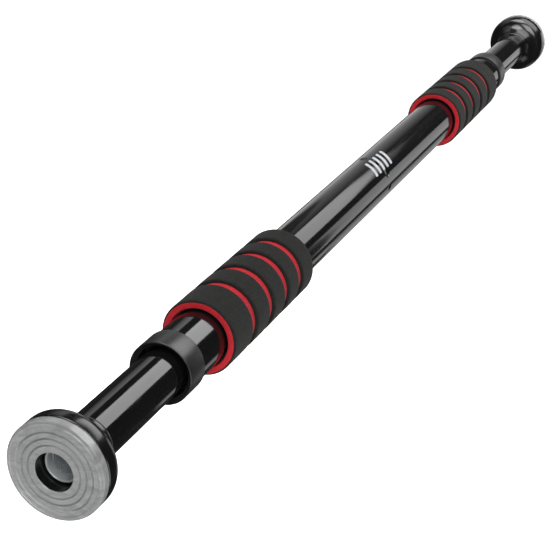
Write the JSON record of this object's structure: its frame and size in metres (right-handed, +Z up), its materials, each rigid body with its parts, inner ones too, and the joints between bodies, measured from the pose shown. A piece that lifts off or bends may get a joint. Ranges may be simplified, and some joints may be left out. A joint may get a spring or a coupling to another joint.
{
  "type": "pull up bar",
  "caption": "Telescopic doorway pull-up bar: black tube with foam grips, screw-out inner tubes and round feet with soft stepped pads.",
  "frame": {"origin": "centre of the whole bar's box, on the tubes' common axis, with both feet as drawn", "axes": "+X along the bar towards the right foot, +Z up, -Y towards a person who faces the bar"},
  "size_m": [0.8538, 0.0492, 0.0492],
  "materials": {
    "enamelled_tube": "gloss black stoved enamel on drawn steel tube",
    "enamelled_flange": "gloss black enamel on a pressed steel foot",
    "collar_plastic": "matt black moulded plastic",
    "black_foam": "closed-cell foam, sanded black skin",
    "red_foam": "closed-cell foam, cut red core",
    "clear_pad": "smoky clear soft rubber, fine moulded texture",
    "clear_insert": "smoky clear plastic with a fine grid",
    "zinc_steel": "bright zinc plate",
    "black_steel_screw": "black oxide",
    "cast_plug": "turned casting",
    "brass_nut": "turned brass",
    "nylon": "natural nylon",
    "black_nylon": "black nylon"
  },
  "bodies": {
    "main_bar": {"outer_tube": "enamelled_tube", "centre_plug": "cast_plug", "spindle_pins": "zinc_steel", "left_spindle": "zinc_steel", "right_spindle": "zinc_steel", "left_stop_washer": "zinc_steel", "right_stop_washer": "zinc_steel", "left_stop_screw": "black_steel_screw", "right_stop_screw": "black_steel_screw", "left_collar": "collar_plastic", "right_collar": "collar_plastic", "left_guide_bush": "nylon", "right_guide_bush": "nylon", "left_grip_core": "red_foam", "right_grip_core": "red_foam", "left_grip_bands": "black_foam", "right_grip_bands": "black_foam"},
    "left_foot": {"left_flange": "enamelled_flange", "left_pad": "clear_pad", "left_well_insert": "clear_insert"},
    "left_tube": {"left_inner_tube": "enamelled_tube", "left_spindle_nut": "brass_nut", "left_slide_ring": "nylon", "left_end_plug": "black_nylon", "left_foot_screw": "black_steel_screw", "left_foot_washer": "zinc_steel"},
    "right_foot": {"right_flange": "enamelled_flange", "right_pad": "clear_pad", "right_well_insert": "clear_insert"},
    "right_tube": {"right_inner_tube": "enamelled_tube", "right_spindle_nut": "brass_nut", "right_slide_ring": "nylon", "right_end_plug": "black_nylon", "right_foot_screw": "black_steel_screw", "right_foot_washer": "zinc_steel"}
  },
  "joints": [
    {"name": "left_extend", "type": "slide", "parent": "main_bar", "child": "left_foot", "axis": [-1, 0, 0], "range_m": [-0.0666, 0.0834]},
    {"name": "left_turn", "type": "hinge", "parent": "left_foot", "child": "left_tube", "pos_m": [-0.3967, 0, 0], "axis": [-1, 0, 0], "range_deg": [-3996, 5004]},
    {"name": "right_extend", "type": "slide", "parent": "main_bar", "child": "right_foot", "axis": [1, 0, 0], "range_m": [-0.0872, 0.0628]},
    {"name": "right_turn", "type": "hinge", "parent": "right_foot", "child": "right_tube", "pos_m": [0.3967, 0, 0], "axis": [1, 0, 0], "range_deg": [-5232, 3768]}
  ],
  "couplings": [
    {"joint": "left_extend", "follows": "left_turn", "m_per_rad": 0.00095493},
    {"joint": "right_extend", "follows": "right_turn", "m_per_rad": 0.00095493}
  ]
}
